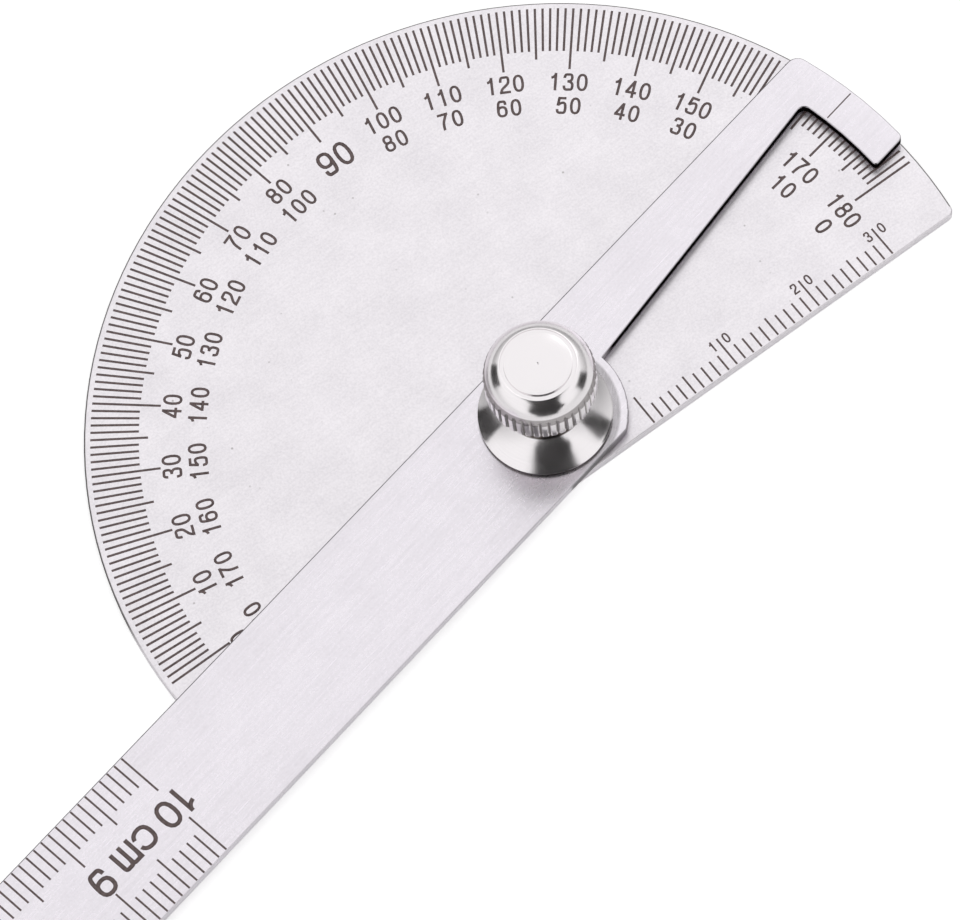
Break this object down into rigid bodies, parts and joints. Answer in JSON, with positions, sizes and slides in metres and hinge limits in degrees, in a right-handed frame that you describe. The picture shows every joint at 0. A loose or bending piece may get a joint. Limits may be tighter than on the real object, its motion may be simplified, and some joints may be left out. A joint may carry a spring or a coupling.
{
  "type": "angle finder with arm",
  "caption": "Half-round protractor plate with a swinging ruler arm, clamped at any angle by a knurled knob on the pivot screw.",
  "frame": {"origin": "on the pivot axis, in the flat back of the plate and of the screw head that is flush with it", "axes": "+X along the base edge towards the 180 line, +Y across the plate towards the 90 line, +Z out of the dial towards the knob"},
  "size_m": [0.1956, 0.082, 0.0146],
  "materials": {
    "plate_steel": "satin stainless sheet, fine mottled grain",
    "arm_steel": "satin stainless strip, long fine grain",
    "line_enamel": "dark enamel in etched lines",
    "screw_steel": "turned steel, ground flush",
    "washer_nylon": "natural nylon",
    "washer_steel": "plain steel",
    "knob_chrome": "turned, knurled and bright chromed"
  },
  "bodies": {
    "plate": {"protractor_plate": "plate_steel", "degree_line_fill": "line_enamel", "base_rule_fill": "line_enamel", "pivot_screw": "screw_steel", "friction_washer": "washer_nylon"},
    "arm": {"ruler_arm": "arm_steel", "arm_rule_fill": "line_enamel", "index_line_fill": "line_enamel"},
    "knob_carrier": {"clamp_washer": "washer_steel"},
    "knob": {"clamp_knob": "knob_chrome"}
  },
  "joints": [
    {"name": "arm_swing", "type": "hinge", "parent": "plate", "child": "arm", "pos_m": [0, 0, 0.0018], "axis": [0, 0, 1], "continuous": true},
    {"name": "knob_lift", "type": "slide", "parent": "plate", "child": "knob_carrier", "axis": [0, 0, 1], "range_m": [0, 0.0014]},
    {"name": "knob_turn", "type": "hinge", "parent": "knob_carrier", "child": "knob", "pos_m": [0, 0, 0.0026], "axis": [0, 0, 1], "range_deg": [0, 720]}
  ],
  "couplings": [
    {"joint": "knob_turn", "follows": "knob_lift", "rad_per_m": 8976}
  ]
}
